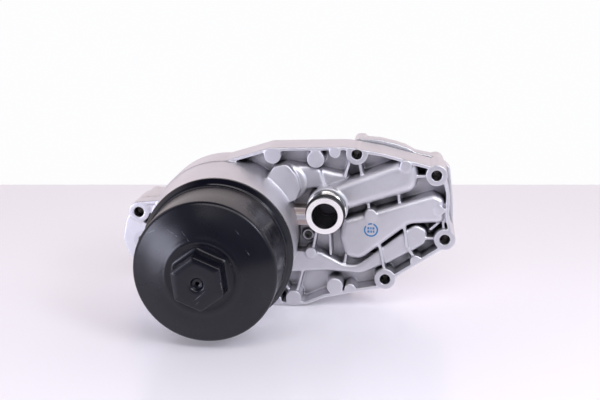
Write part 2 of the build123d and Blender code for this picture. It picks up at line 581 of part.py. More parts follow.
def make_check_guide():
    """Spider above the inlet valve: a rim, three arms and the hub that guides the stem."""
    low = JACKET_D - GUIDE_T
    rim = INLET_R + VALVE_LIP + 1 - FIT
    body = ring(INLET, rim, rim - 1.5, low, JACKET_D) + ring(INLET, STEM_R + 2, STEM_R + FIT, low, JACKET_D)
    for turn in (0, 120, 240):
        arm = Rot(0, 0, turn) * Pos((rim + STEM_R) / 2, 0) * Rectangle(rim - STEM_R - 1.5, 2)
        body += slab(Pos(*INLET) * arm, low, JACKET_D)
    return body


SEALS = {"oil_outlet_seal": ((0, 0), OUTLET_R + 3), "oil_inlet_seal": (INLET, INLET_R + 3),
         "coolant_inlet_seal": (COOLANT_INLET, COOLANT_INLET_R + 2)}


def save(name, *solids):
    """Stand the solids up and write them as one node."""
    placed = [Rot(90, 0, 0) * solid for shape in solids for solid in shape.solids()]
    export_step(placed[0] if len(placed) == 1 else Compound(children=placed), f"parts/{name}.step")
    print(name, len(placed), round(sum(solid.volume for solid in placed) / 1000, 2), "cm3")


os.makedirs("parts", exist_ok=True)
save("housing", make_housing())
save("jacket", make_jacket())
save("housing_gasket", make_gasket())
for name, (at, radius) in SEALS.items():
    save(name, ring(at, radius + 3.0 - FIT, radius + FIT, -SEAL_PROUD, 2.0))
save("joint_screws", *[socket_screw(at, SCREW_R, SCREW_HEAD_R, SCREW_HEAD_H,
                                    COUNTERBORE_D - SCREW_HEAD_H, SCREW_LENGTH) for at in SCREW_POINTS])
save("dowel_sleeves", *[ring(at, DOWEL_R, DOWEL_R - DOWEL_WALL, seam - DOWEL_LENGTH / 2,
                             seam + DOWEL_LENGTH / 2 - GAP) for at, seam in DOWELS])
save("coolant_pipe", make_coolant_pipe())
save("pipe_o_ring", torus(TUBE_AT, TUBE_GROOVE_R + 2 * TUBE_RING_R + FIT, TUBE_RING_R,
                          TUBE_END - TUBE_GROOVE_TOP - TUBE_GROOVE_L / 2))
plug = disc(PLUG_AT, PLUG_R, WEB_TOP, WEB_TOP + 5)
plug -= slab(Pos(*PLUG_AT) * RegularPolygon(2.0, 6), WEB_TOP + 2, WEB_TOP + 5)
save("gallery_plug", plug)
save("cooler_plate_stack", make_stack())
save("cooler_base_plate", make_base_plate())
save("cooler_port_seals", *[ring(at, PORT_R + 3 - FIT, PORT_R + 1 + FIT, WEB_BACK - 1.5, WEB_BACK)
                            for at in PORTS.values()])
save("cooler_screws", *[socket_screw(ear, COOLER_SCREW_R, 4.2, 4.0, WEB_BACK - BASE_T - 4.0, BASE_T + 4.5)
                        for ear in EARS])
standpipe = ring((0, 0), PIPE_R, PIPE_R - PIPE_WALL, BOWL_FLOOR, PIPE_TOP)
standpipe += ring((0, 0), PIPE_R + 2.5, PIPE_R - PIPE_WALL, BOWL_FLOOR, BOWL_FLOOR + 3)
standpipe += ring((0, 0), PIPE_R - 2, PIPE_R - PIPE_WALL, SPLIT + 1, BOWL_FLOOR)
save("standpipe", standpipe)
save("filter_cap", make_cap())
save("cap_o_ring", torus((0, 0), SEAL_BORE_R - FIT, O_RING_R, GROOVE_MID))
save("element_media", make_media())
save("element_rear_plate", ring((0, 0), MEDIA_R, PIPE_R + 3, MEDIA_BASE - PLATE_T, MEDIA_BASE))
save("element_seal", ring((0, 0), PIPE_R + 3, PIPE_R + FIT, MEDIA_BASE - PLATE_T, MEDIA_BASE))
save("element_front_plate", make_front_plate())
save("support_cage", make_cage())
save("bypass_valve_cup", make_bypass_cup())
save("bypass_valve_disc", make_poppet((0, 0), BYPASS_SEAT_R, MEDIA_END, MEDIA_END - CUP_D - 2))
save("bypass_valve_spring", spring((0, 0), SPRING_R, MEDIA_END - CUP_D + CUP_FLOOR_T, MEDIA_END - VALVE_T, 4))
check_face = CHECK_SEAT_H + CHECK_SEAT_T
save("check_valve_seat", ring(INLET, INLET_R + VALVE_LIP + 1 - FIT, INLET_R - 1, CHECK_SEAT_H, check_face))
save("check_valve_disc", make_poppet(INLET, INLET_R - 1, check_face, JACKET_D - 1))
save("check_valve_guide", make_check_guide())
save("check_valve_spring", spring(INLET, SPRING_R - 1.5, check_face + VALVE_T, JACKET_D - GUIDE_T, 4))
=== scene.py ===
"""Look of the engine oil cooler module: cast aluminium, black cap, turned pipe, studio light."""
import bpy, bmesh, json, math
import numpy as np
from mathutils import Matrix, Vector


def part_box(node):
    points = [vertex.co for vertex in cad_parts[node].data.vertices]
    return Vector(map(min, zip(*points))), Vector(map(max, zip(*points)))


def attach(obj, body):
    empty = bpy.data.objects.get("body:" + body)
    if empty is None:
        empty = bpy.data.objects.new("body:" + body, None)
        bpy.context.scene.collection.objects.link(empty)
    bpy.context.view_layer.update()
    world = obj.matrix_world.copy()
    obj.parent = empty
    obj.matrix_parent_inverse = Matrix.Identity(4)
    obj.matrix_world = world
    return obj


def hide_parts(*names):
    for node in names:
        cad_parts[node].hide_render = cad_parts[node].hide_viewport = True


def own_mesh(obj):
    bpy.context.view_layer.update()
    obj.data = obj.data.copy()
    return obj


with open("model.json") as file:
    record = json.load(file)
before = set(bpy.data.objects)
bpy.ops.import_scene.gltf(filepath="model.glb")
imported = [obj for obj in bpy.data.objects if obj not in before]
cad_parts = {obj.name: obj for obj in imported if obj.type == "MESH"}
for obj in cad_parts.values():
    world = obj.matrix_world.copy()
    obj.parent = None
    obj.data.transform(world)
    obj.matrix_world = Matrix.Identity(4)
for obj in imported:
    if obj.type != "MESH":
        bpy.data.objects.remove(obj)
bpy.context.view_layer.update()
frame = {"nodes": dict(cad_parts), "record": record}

MM = 0.001
TAU = 2 * math.pi

# Places seen from the front, in millimetres: x to the right, z up; h is the distance from the engine face
RIM_H = 65.0
FLOOR_Z = -62.7
BOLTS = [(107.3, 72.0), (172.8, 55.7), (181.3, 1.4), (132.6, -35.0), (-78.0, 17.4), (-86.0, -19.0)]
HOLE_R = 4.2
BOSS_R = 8.9
SADDLE = (BOLTS[0], 3.6, 4.95, 29.4, 64.8)      # axis, inner and outer radius, from and to height
SADDLE_ARC = (48, 84)                           # first angle and sweep, in degrees
TUBE_AT = (83.5, 26.0)
TUBE_BORE_R = 10.3
BLOCK_AT = (60.0, 16.5)                         # the block beside the pipe, with a brown stain
BLOCK_REACH = (11.0, 9.0)
STAMP_AT = (120.1, 7.9)
STAMP_R = 5.3
STAMP_BARS = [(-2.2, 1.4, 1.0), (-0.1, 1.4, 0.65), (2.0, 1.4, 1.0),      # across, up, half width
              (-2.1, -1.4, 1.1), (0.2, -1.4, 0.8), (2.2, -1.4, 0.75)]

# The photograph's camera: it looks at a point on the rim plane
LOOK_AT = Vector((60.5, -RIM_H, 32.0)) * MM
CAM_AZIMUTH = math.radians(6.5)
CAM_ELEVATION = math.radians(14.5)
CAM_DISTANCE = 800 * MM
CAM_LENS = 57.5

# Cap: radius, height, and how far the ring is a hexagon instead of a circle
CAP_SKIRT = [(51.0, 92.9, 0), (51.4, 92.5, 0), (53.4, 92.5, 0), (54.1, 93.2, 0), (54.1, 104.4, 0),
             (56.6, 104.7, 0), (56.8, 104.9, 0), (56.8, 107.5, 0), (56.6, 107.7, 0), (52.9, 107.7, 0),
             (52.9, 111.9, 0), (56.6, 111.9, 0), (56.8, 112.1, 0), (56.8, 114.3, 0), (60.7, 114.3, 0),
             (61.1, 114.5, 0), (61.2, 114.9, 0), (61.2, 117.5, 0), (61.05, 118.1, 0), (60.6, 118.6, 0),
             (58.4, 121.3, 0), (58.0, 121.8, 0), (57.7, 122.0, 0), (57.3, 122.15, 0), (56.8, 122.5, 0),
             (56.4, 123.2, 0), (56.15, 124.0, 0), (56.0, 124.9, 0)]
CAP_DOME = [(55.6, 145.0, 0), (55.2, 164.6, 0), (55.05, 165.6, 0), (54.6, 166.7, 0), (53.8, 167.5, 0),
            (52.7, 168.0, 0), (50.8, 168.8, 0), (46.5, 170.8, 0), (41.0, 173.1, 0), (35.5, 175.1, 0),
            (32.2, 176.1, 0), (30.6, 176.75, 0), (29.2, 177.4, 0), (28.0, 177.75, 0), (26.8, 177.85, 0),
            (25.6, 177.75, 0), (24.4, 177.55, 0), (23.2, 177.6, 0.1), (21.8, 177.75, 0.45),
            (20.6, 178.0, 0.8), (19.6, 178.5, 0.97), (19.0, 179.3, 1), (18.75, 180.4, 1), (18.5, 191.4, 1),
            (18.35, 192.4, 1), (17.9, 193.1, 1), (17.2, 193.5, 1), (13.0, 193.5, 0.6), (9.0, 193.5, 0.2),
            (5.8, 193.5, 0), (5.2, 193.3, 0), (4.7, 192.6, 0), (3.6, 191.3, 0), (2.1, 191.0, 0),
            (1.6, 190.8, 0), (1.5, 190.2, 0), (1.5, 185.5, 0)]
CAP_INSIDE = [(51.0, 118.3, 0), (51.4, 160.0, 0), (47.2, 164.6, 0), (27.0, 173.8, 0), (27.0, 147.0, 0),
              (24.0, 147.0, 0), (24.0, 175.0, 0)]
HEX_TURN = math.radians(7.0)
HEX_CORNER = 1.13                            # distance of its blunted corners, for 1 at its flats
THREAD = (54.0, 55.0, 94.0, 103.6, 4.0)      # root and crest radius, from and to height, pitch
THREAD_SECTION = ((-1.35, 0), (-0.4, 1), (0.4, 1), (1.35, 0))      # along the axis, share of the ridge
THREAD_ENDS = (93.4, 104.3)                  # the ridge stays between these heights

# Coolant pipe, with the same kind of entries
PIPE = [(10.3, 54.0, 0), (13.0, 54.0, 0), (13.0, 66.95, 0), (16.1, 67.0, 0), (16.3, 67.2, 0), (16.3, 70.2, 0),
        (16.2, 70.5, 0), (15.9, 70.6, 0), (14.2, 71.3, 0), (13.95, 71.5, 0), (13.9, 71.8, 0), (13.9, 75.7, 0),
        (14.05, 76.0, 0), (15.05, 76.8, 0), (15.25, 77.0, 0), (15.3, 77.3, 0), (15.3, 82.1, 0),
        (15.2, 82.3, 0), (15.0, 82.4, 0), (12.8, 82.4, 0), (12.6, 82.6, 0), (12.6, 86.4, 0), (12.8, 86.6, 0),
        (15.0, 86.6, 0), (15.2, 86.7, 0), (15.3, 86.9, 0), (15.3, 91.65, 0), (15.05, 92.0, 0),
        (10.75, 92.0, 0), (10.3, 91.5, 0)]

# Scratches on the cap's end: from x, z to x, z in the front plane, and the half width
SCRATCHES = [((-29, 36), (-17, 30), 0.35), ((-14, 34), (-8, 27), 0.3), ((25, 36), (29, 31), 0.4),
             ((33, 21), (36, 17), 0.4), ((22, 12), (25, 6), 0.35), ((-3, -13), (6, -5), 0.4),
             ((-1, -15), (1.5, -13), 0.3), ((17.6, 2), (18.4, -3), 0.4), ((-42, 30), (-36, 33), 0.5)]

# Heights between which a finish changes
HOLLOWS_FADE = (57.0, 62.0)      # painted darkness of the hollows
STAIN_FADE = (60.0, 64.0)        # brown stain on the block beside the pipe
FRONT_COLLAR = (83.0, 85.0)      # the side is nearly black from here on, for the photograph's dark ring
FLANGE_START = (113.5, 114.0)
FLANGE_END = (122.5, 124.0)
CAP_END = (163.0, 166.0)

# Copies of the castings: voxel, rounds of smoothing, triangles, thickened wall
HOUSING_COPY = (0.6, 9, 195000, SADDLE)
JACKET_COPY = (0.8, 6, 150000)

# Valve springs: node, joint, body, fixed end along y, and travel of the joint
SPRINGS = [("bypass_valve_spring", "bypass_valve_slide", "element", -122.5, 5.0),
           ("check_valve_spring", "check_valve_slide", "housing", -25.0, 4.0)]
WIRE_R = 0.6
SPRING_TURNS = 4

# Floor: its ends along y and half its width, in metres, and the light that it gives off
FLOOR_FRONT = -0.60
FLOOR_BACK = 0.375
FLOOR_HALF = 4
FLOOR_GLOW = (0.16, 0.155, 0.17, 1)

# Studio seen by direction; the sides are x, the back is +y
WORLD_FRONT = (0.10, 0.10, 0.125, 1)
WORLD_BACK = (1.06, 0.95, 0.97, 1)
WORLD_SIDE = (0.55, 0.57, 0.68, 1)
WORLD_TOP = (0.06, 0.06, 0.07, 1)
WORLD_BELOW = (0.03, 0.03, 0.035, 1)
WORLD_SEEN = (0.985, 0.985, 0.995, 1)      # what the camera sees behind the floor

# Softboxes: name, place, target, size, power, colour
SOFTBOXES = [("left", (-0.74, -0.87, 0.06), (0, -0.1, 0), (0.45, 0.45), 5.5, (0.80, 0.81, 1.0)),
             ("right", (0.77, -0.75, 0.62), (0.05, -0.1, 0), (0.3, 0.3), 4.0, (0.82, 0.87, 1.0)),
             ("above", (0.25, -0.75, 0.85), (0.05, -0.05, 0), (1.2, 0.5), 5.3, (1.0, 0.97, 0.97))]


def shader(name, **sockets):
    """New material; returns it with its node tree and its Principled node."""
    mat = bpy.data.materials.new(name)
    mat.use_nodes = True
    tree = mat.node_tree
    bsdf = tree.nodes["Principled BSDF"]
    for socket, value in sockets.items():
        bsdf.inputs[socket.replace("_", " ")].default_value = value
    return mat, tree, bsdf


def node(tree, kind, inputs=None, **settings):
    """Add a node; inputs may be values or output sockets."""
    item = tree.nodes.new(kind)
    for key, value in settings.items():
        setattr(item, key, value)
    for key, value in (inputs or {}).items():
        if isinstance(value, bpy.types.NodeSocket):
            tree.links.new(value, item.inputs[key])
        else:
            item.inputs[key].default_value = value
    return item


def math_node(tree, operation, a, b=0.0, c=0.0, clamp=False):
    return node(tree, "ShaderNodeMath", {0: a, 1: b, 2: c}, operation=operation, use_clamp=clamp).outputs[0]


def mix_colour(tree, factor, a, b):
    return node(tree, "ShaderNodeMix", {0: factor, 6: a, 7: b}, data_type="RGBA").outputs[2]


def shade(colour, factor):
    """Opaque colour, darker or lighter by a factor."""
    return tuple(min(1, c * factor) for c in colour) + (1,)


def ramp(tree, value, stops):
    """Colour ramp through (position, grey) stops."""
    item = node(tree, "ShaderNodeValToRGB", {0: value})
    elements = item.color_ramp.elements
    while len(elements) < len(stops):
        elements.new(0.5)
    for element, (position, grey) in zip(elements, stops):
        element.position = position
        element.color = (grey, grey, grey, 1)
    return item.outputs[0]


def object_coords(tree):
    return node(tree, "ShaderNodeTexCoord").outputs["Object"]


def noise(tree, coords, scale, detail=3.0, stretch=None):
    if stretch:
        coords = node(tree, "ShaderNodeMapping", {0: coords, 3: stretch}).outputs[0]
    return node(tree, "ShaderNodeTexNoise", {"Vector": coords, "Scale": scale, "Detail": detail}).outputs[0]


def bump(tree, height, strength, distance, normal=None):
    inputs = {"Strength": strength, "Distance": distance, "Height": height}
    if normal:
        inputs["Normal"] = normal
    return node(tree, "ShaderNodeBump", inputs).outputs[0]


def front_plane(tree):
    """Object coordinates x and z, in metres: the place seen from the front."""
    split = node(tree, "ShaderNodeSeparateXYZ", {0: object_coords(tree)})
    return split.outputs[0], split.outputs[2]


def from_axis(tree, centre):
    """Offsets along x and z from an axis along y, and the distance from it, in metres."""
    x, z = front_plane(tree)
    dx = math_node(tree, "SUBTRACT", x, centre[0] * MM)
    dz = math_node(tree, "SUBTRACT", z, centre[1] * MM)
    away = math_node(tree, "ADD", math_node(tree, "MULTIPLY", dx, dx), math_node(tree, "MULTIPLY", dz, dz))
    return dx, dz, math_node(tree, "SQRT", away)


def cast_metal(name, colour, rough_level, stamp=False):
    """Shot-blasted die-cast aluminium: fine grain, cloudy tone, edges lighter from wear and a painted highlight,
    painted shade in hollows and bolt holes, with painted glints in the holes.
    """
    mat, tree, bsdf = shader(name, Metallic=1.0)
    coords = object_coords(tree)
    cloud = ramp(tree, noise(tree, coords, 38, 4), [(0.3, 0.0), (0.7, 1.0)])
    fleck = ramp(tree, noise(tree, coords, 420, 2), [(0.35, 0.0), (0.65, 1.0)])
    lighter = shade(colour, 1.04)
    base = mix_colour(tree, cloud, shade(colour, 0.92), lighter)
    base = mix_colour(tree, math_node(tree, "MULTIPLY", fleck, 0.25), base, lighter)
    edge = ramp(tree, node(tree, "ShaderNodeNewGeometry").outputs["Pointiness"],
                [(0.40, 0.0), (0.495, 0.45), (0.505, 0.5), (0.60, 1.0)])
    crease_shade = math_node(tree, "SUBTRACT", 0.5, edge, clamp=True)
    ridge = math_node(tree, "MULTIPLY", math_node(tree, "SUBTRACT", edge, 0.5, clamp=True), 1.6, clamp=True)
    # Convex edges are lighter: partly edge wear, partly a painted highlight.
    base = mix_colour(tree, ridge, base, (0.97, 0.96, 0.98, 1))
    # Painted shade: concave creases are darkened.
    base = mix_colour(tree, math_node(tree, "MULTIPLY", crease_shade, 1.1, clamp=True), base, shade(colour, 0.45))
    # Painted shade: recesses that little light reaches are darkened towards near black, except in the bolt holes, and
    # less towards the rim.
    open_share = node(tree, "ShaderNodeAmbientOcclusion", {"Distance": 10 * MM}, samples=6).outputs["AO"]
    shaded = ramp(tree, open_share, [(0.0, 1.0), (0.28, 0.96), (0.48, 0.34), (0.68, 0.0)])
    shaded = math_node(tree, "MULTIPLY", shaded, math_node(tree, "SUBTRACT", 0.96, at_bolts(tree, HOLE_R + 0.3)))
    near_rim = beyond(tree, HOLLOWS_FADE)
    shaded = math_node(tree, "MULTIPLY", shaded, math_node(tree, "MULTIPLY_ADD", near_rim, -0.7, 1.0))
    base = mix_colour(tree, shaded, base, (0.04, 0.04, 0.045, 1))
    # Painted shade with painted glints on the walls of the bolt holes: streaky dark grey.
    off_front = math_node(tree, "SUBTRACT", 1.0, facing_front(tree))
    bore = math_node(tree, "MULTIPLY", at_bolts(tree, HOLE_R + 0.3), off_front)
    glint = ramp(tree, noise(tree, coords, 330, 2, (1, 0.35, 1)), [(0.42, 0.05), (0.62, 0.42)])
    base = mix_colour(tree, bore, base, glint)
    faces = math_node(tree, "MULTIPLY", at_bolts(tree, BOSS_R - 0.4), facing_front(tree))
    base = mix_colour(tree, math_node(tree, "MULTIPLY", faces, 0.6), base, shade(colour, 0.86))
    if stamp:
        x, z = front_plane(tree)
        stain = math_node(tree, "MULTIPLY", near(tree, x, BLOCK_AT[0] * MM, BLOCK_REACH[0] * MM),
                          near(tree, z, BLOCK_AT[1] * MM, BLOCK_REACH[1] * MM))
        below_rim = math_node(tree, "SUBTRACT", 0.6, beyond(tree, STAIN_FADE), clamp=True)
        stain = math_node(tree, "MULTIPLY", stain, below_rim)
        base = mix_colour(tree, stain, base, (0.62, 0.46, 0.38, 1))
        base = mix_colour(tree, inspection_mark(tree), base, (0.02, 0.26, 0.60, 1))
    tree.links.new(base, bsdf.inputs["Base Color"])
    rough = math_node(tree, "MULTIPLY_ADD", cloud, 0.05, rough_level + 0.02)
    rough = math_node(tree, "MULTIPLY_ADD", ridge, -0.2, rough)
    tree.links.new(math_node(tree, "MULTIPLY_ADD", fleck, 0.06, rough), bsdf.inputs["Roughness"])
    coarse = bump(tree, noise(tree, coords, 260, 3), 0.16, 0.4 * MM)
    tree.links.new(bump(tree, noise(tree, coords, 1300, 3), 0.30, 0.12 * MM, coarse), bsdf.inputs["Normal"])
    return mat


def at_bolts(tree, reach):
    """1 within reach of a bolt's axis."""
    inside = None
    for bolt in BOLTS:
        here = math_node(tree, "LESS_THAN", from_axis(tree, bolt)[2], reach * MM)
        inside = here if inside is None else math_node(tree, "MAXIMUM", inside, here)
    return inside


def facing_front(tree):
    """1 on surfaces that look straight to the front."""
    normal = node(tree, "ShaderNodeNewGeometry").outputs["Normal"]
    return math_node(tree, "LESS_THAN", node(tree, "ShaderNodeSeparateXYZ", {0: normal}).outputs[1], -0.9)


def inspection_mark(tree):
    """Round ink mark: a broken ring round six short bars, with no letters."""
    dx, dz, away = from_axis(tree, STAMP_AT)
    ring = near(tree, away, STAMP_R * MM, 0.75 * MM)
    gap = math_node(tree, "GREATER_THAN", noise(tree, object_coords(tree), 330, 1), 0.38)
    marks = math_node(tree, "MULTIPLY", ring, gap)
    for across, up, half in STAMP_BARS:
        bar_z = near(tree, dz, up * MM, 1.15 * MM)
        bar_x = near(tree, dx, across * MM, half * MM)
        marks = math_node(tree, "MAXIMUM", marks, math_node(tree, "MULTIPLY", bar_z, bar_x))
    return math_node(tree, "MULTIPLY", math_node(tree, "MULTIPLY", marks, facing_front(tree)), 0.93)


def beyond(tree, heights):
    """0 up to the first height and 1 from the second on, in millimetres from the engine face."""
    y = node(tree, "ShaderNodeSeparateXYZ", {0: object_coords(tree)}).outputs[1]
    start, end = (-height * MM for height in heights)
    return node(tree, "ShaderNodeMapRange", {0: y, 1: start, 2: end, 3: 0.0, 4: 1.0}).outputs[0]


def near(tree, value, centre, reach):
    """1 where value lies within reach of centre, with soft ends."""
    off = math_node(tree, "ABSOLUTE", math_node(tree, "SUBTRACT", value, centre))
    return node(tree, "ShaderNodeMapRange", {0: off, 1: reach, 2: reach * 0.7, 3: 0.0, 4: 1.0}).outputs[0]


def turned_metal(name, colour, rough, centre):
    """Turned metal: a bright face with fine rings round an axis along y, sides with painted shade, and painted shade
    in the bore.
    """
    mat, tree, bsdf = shader(name, Metallic=1.0)
    away = from_axis(tree, centre)[2]
    inside = math_node(tree, "LESS_THAN", away, (TUBE_BORE_R + 0.12) * MM)
    ahead = beyond(tree, FRONT_COLLAR)
    # The sides carry painted shade, darker than the front face; past the front collar they are nearly black.
    side = mix_colour(tree, ahead, shade(colour, 0.34), shade(colour, 0.08))
    base = mix_colour(tree, facing_front(tree), side, colour + (1,))
    # Painted shade in the bore.
    tree.links.new(mix_colour(tree, inside, base, (0.16, 0.15, 0.15, 1)), bsdf.inputs["Base Color"])
    rings = math_node(tree, "SINE", math_node(tree, "MULTIPLY", away, 14000))
    uneven = noise(tree, object_coords(tree), 120, 3)
    tree.links.new(math_node(tree, "MULTIPLY_ADD", uneven, 0.12, rough - 0.06), bsdf.inputs["Roughness"])
    tree.links.new(bump(tree, rings, 0.05, 0.03 * MM), bsdf.inputs["Normal"])
    return mat


def plain_metal(name, colour, rough):
    """Plated steel with faint blotches."""
    mat, tree, bsdf = shader(name, Metallic=1.0)
    cloud = noise(tree, object_coords(tree), 160, 3)
    tree.links.new(mix_colour(tree, cloud, shade(colour, 0.85), colour + (1,)), bsdf.inputs["Base Color"])
    tree.links.new(math_node(tree, "MULTIPLY_ADD", cloud, 0.15, rough), bsdf.inputs["Roughness"])
    tree.links.new(bump(tree, noise(tree, object_coords(tree), 900, 2), 0.1, 0.05 * MM), bsdf.inputs["Normal"])
    return mat


def soft_material(name, colour, rough, grain=900, depth=0.25):
    """Rubber, plastic, felt or paper: one colour with a fine grain and a faint blotch."""
    mat, tree, bsdf = shader(name)
    coords = object_coords(tree)
    cloud = noise(tree, coords, 70, 3)
    tree.links.new(mix_colour(tree, cloud, shade(colour, 0.8), shade(colour, 1.15)), bsdf.inputs["Base Color"])
    tree.links.new(math_node(tree, "MULTIPLY_ADD", cloud, 0.12, rough - 0.06), bsdf.inputs["Roughness"])
    tree.links.new(bump(tree, noise(tree, coords, grain, 3), depth, 0.06 * MM), bsdf.inputs["Normal"])
    return mat


def cap_plastic():
    """Satin black nylon: slight flow marks, a glossier flange and a few pale scratches on the end."""
    mat, tree, bsdf = shader("cap_nylon", Specular_IOR_Level=0.43)
    coords = object_coords(tree)
    x, z = front_plane(tree)
    cloud = noise(tree, coords, 22, 5)
    fine = noise(tree, coords, 700, 3)
    base = mix_colour(tree, cloud, (0.002, 0.002, 0.005, 1), (0.005, 0.005, 0.011, 1))
    flat = node(tree, "ShaderNodeCombineXYZ", {0: x, 1: z}).outputs[0]
    marks = None
    for start, end, width in SCRATCHES:
        mark = stroke(tree, flat, start, end, width)
        marks = mark if marks is None else math_node(tree, "MAXIMUM", marks, mark)
    broken = ramp(tree, noise(tree, coords, 520, 2), [(0.42, 0.0), (0.6, 1.0)])
    ahead = beyond(tree, CAP_END)
    marks = math_node(tree, "MULTIPLY", math_node(tree, "MULTIPLY", marks, broken), ahead)
    base = mix_colour(tree, math_node(tree, "MULTIPLY", marks, 0.32), base, (0.26, 0.26, 0.30, 1))
    tree.links.new(base, bsdf.inputs["Base Color"])
    flange = math_node(tree, "SUBTRACT", beyond(tree, FLANGE_START), beyond(tree, FLANGE_END))
    rough = math_node(tree, "MULTIPLY_ADD", cloud, 0.16, 0.18)
    rough = math_node(tree, "MULTIPLY", rough, math_node(tree, "MULTIPLY_ADD", flange, -0.5, 1.0))
    tree.links.new(rough, bsdf.inputs["Roughness"])
    rough_skin = bump(tree, noise(tree, coords, 45, 4), 0.12, 0.5 * MM)
    tree.links.new(bump(tree, fine, 0.10, 0.05 * MM, rough_skin), bsdf.inputs["Normal"])
    return mat


def stroke(tree, flat, start, end, width):
    """1 near the line from start to end in the front plane."""
    a, b = Vector(start + (0,)) * MM, Vector(end + (0,)) * MM
    along = b - a
    rel = node(tree, "ShaderNodeVectorMath", {0: flat, 1: a}, operation="SUBTRACT").outputs[0]
    share = node(tree, "ShaderNodeVectorMath", {0: rel, 1: along}, operation="DOT_PRODUCT").outputs["Value"]
    share = math_node(tree, "DIVIDE", share, along.length_squared, clamp=True)
    foot = node(tree, "ShaderNodeVectorMath", {0: along}, operation="SCALE")
    tree.links.new(share, foot.inputs["Scale"])
    off = node(tree, "ShaderNodeVectorMath", {0: rel, 1: foot.outputs[0]}, operation="SUBTRACT").outputs[0]
    gap = node(tree, "ShaderNodeVectorMath", {0: off}, operation="LENGTH").outputs["Value"]
    return node(tree, "ShaderNodeMapRange", {0: gap, 1: width * MM, 2: width * 0.4 * MM, 3: 0.0, 4: 1.0}).outputs[0]


def new_piece(name, mesh, material, body, slot, *replaced):
    """Link a mesh as a piece that rides on a body and may stand for CAD nodes."""
    mesh.name = name
    piece = bpy.data.objects.new(name, mesh)
    bpy.context.scene.collection.objects.link(piece)
    piece.data.materials.clear()
    piece.data.materials.append(material)
    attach(piece, body)
    if replaced:
        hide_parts(*replaced)
    return piece


def bridge(bm, a, b):
    """Quads between two rows of vertices."""
    count = len(a)
    return [bm.faces.new((a[i], a[(i + 1) % count], b[(i + 1) % count], b[i])) for i in range(count)]


def finished(bm, name, sharp=None):
    """Smooth mesh from a closed bmesh, with the edges above an angle in degrees left sharp."""
    bmesh.ops.recalc_face_normals(bm, faces=bm.faces)
    mesh = bpy.data.meshes.new(name)
    bm.to_mesh(mesh)
    bm.free()
    mesh.shade_smooth()
    if sharp:
        mesh.set_sharp_from_angle(angle=math.radians(sharp))
    return mesh


def add_saddle(mesh, centre, inner, outer, low, high):
    """Thicken the wall over a bolt hole, which a voxel would otherwise tear open."""
    bm = bmesh.new()
    bm.from_mesh(mesh)
    rows = []
    for k in range(13):
        angle = math.radians(SADDLE_ARC[0] + SADDLE_ARC[1] * k / 12)
        across, up = math.cos(angle), math.sin(angle)
        rows.append([bm.verts.new(((centre[0] + r * across) * MM, -h * MM, (centre[1] + r * up) * MM))
                     for r, h in ((inner, low), (outer, low), (outer, high), (inner, high))])
    made = [bm.faces.new(rows[0]), bm.faces.new(rows[-1])]
    for a, b in zip(rows, rows[1:]):
        made += bridge(bm, a, b)
    bmesh.ops.recalc_face_normals(bm, faces=made)
    bm.to_mesh(mesh)
    bm.free()


def cast_copy(node_name, voxel, rounds, triangles, saddle=None):
    """Fine copy of a casting with its edges and inner corners rounded as in a mould, but crisp bolt bosses."""
    source = frame["nodes"][node_name]
    work = bpy.data.objects.new(node_name + "_work", source.data.copy())
    if saddle:
        add_saddle(work.data, *saddle)
    bpy.context.scene.collection.objects.link(work)
    remesh = work.modifiers.new("remesh", "REMESH")
    remesh.mode = "VOXEL"
    remesh.voxel_size = voxel * MM
    remesh.use_smooth_shade = True
    work.data = bpy.data.meshes.new_from_object(work.evaluated_get(bpy.context.evaluated_depsgraph_get()))
    work.modifiers.clear()
    points = np.empty(len(work.data.vertices) * 3, dtype=np.float32)
    work.data.vertices.foreach_get("co", points)
    points = points.reshape(-1, 3) / MM
    crisp = np.zeros(len(points), dtype=bool)
    for x, z in BOLTS:
        crisp |= np.hypot(points[:, 0] - x, points[:, 2] - z) < BOSS_R + 0.6
    work.vertex_groups.new(name="soft").add(np.nonzero(~crisp)[0].tolist(), 1.0, "REPLACE")
    work.vertex_groups.new(name="crisp").add(np.nonzero(crisp)[0].tolist(), 1.0, "REPLACE")
    for group, times in (("soft", rounds), ("crisp", 2)):
        smooth = work.modifiers.new(group, "SMOOTH")
        smooth.iterations = times
        smooth.factor = 0.5
        smooth.vertex_group = group
    count = sum(len(face.vertices) - 2 for face in work.data.polygons)
    thin = work.modifiers.new("thin", "DECIMATE")
    thin.ratio = min(1.0, triangles / count)
    mesh = bpy.data.meshes.new_from_object(work.evaluated_get(bpy.context.evaluated_depsgraph_get()))
    bpy.data.objects.remove(work)
    mesh.shade_smooth()
    return mesh


def lathe(profile, centre, segments, hex_turn=0.0, sharp=38):
    """Surface of rings about an axis along -y; each ring is a circle, a hexagon or between."""
    bm = bmesh.new()
    rings = []
    for radius, height, hexed in profile:
        ring = []
        for k in range(segments):
            angle = TAU * k / segments
            face_angle = (math.degrees(angle - hex_turn) + 30) % 60 - 30
            hexagon = min(1 / math.cos(math.radians(face_angle)), HEX_CORNER)
            r = radius * (1 + hexed * (hexagon - 1))
            ring.append(bm.verts.new(((centre[0] + r * math.cos(angle)) * MM, -height * MM,
                                      (centre[1] + r * math.sin(angle)) * MM)))
        rings.append(ring)
    for a, b in zip(rings, rings[1:] + rings[:1]):
        bridge(bm, a, b)
    return finished(bm, "lathe", sharp)


def thread_ridge(root, crest, start, end, pitch, segments=120):
    """Helical ridge round the cap's axis, which fades in and out over a third of a turn."""
    bm = bmesh.new()
    steps = int((end - start) / pitch * segments)
    rows = []
    for k in range(steps + 1):
        angle = TAU * k / segments
        height = start + (end - start) * k / steps
        rise = (crest - root) * min(1.0, 3 * k / segments, 3 * (steps - k) / segments)
        row = []
        for across, up in THREAD_SECTION:
            r = root + rise * up
            h = min(max(height + across, THREAD_ENDS[0]), THREAD_ENDS[1])
            row.append(bm.verts.new((r * math.cos(angle) * MM, -h * MM, r * math.sin(angle) * MM)))
        rows.append(row)
    for a, b in zip(rows, rows[1:]):
        bridge(bm, a, b)
    bm.faces.new(rows[0])
    bm.faces.new(rows[-1])
    return finished(bm, "thread", 30)


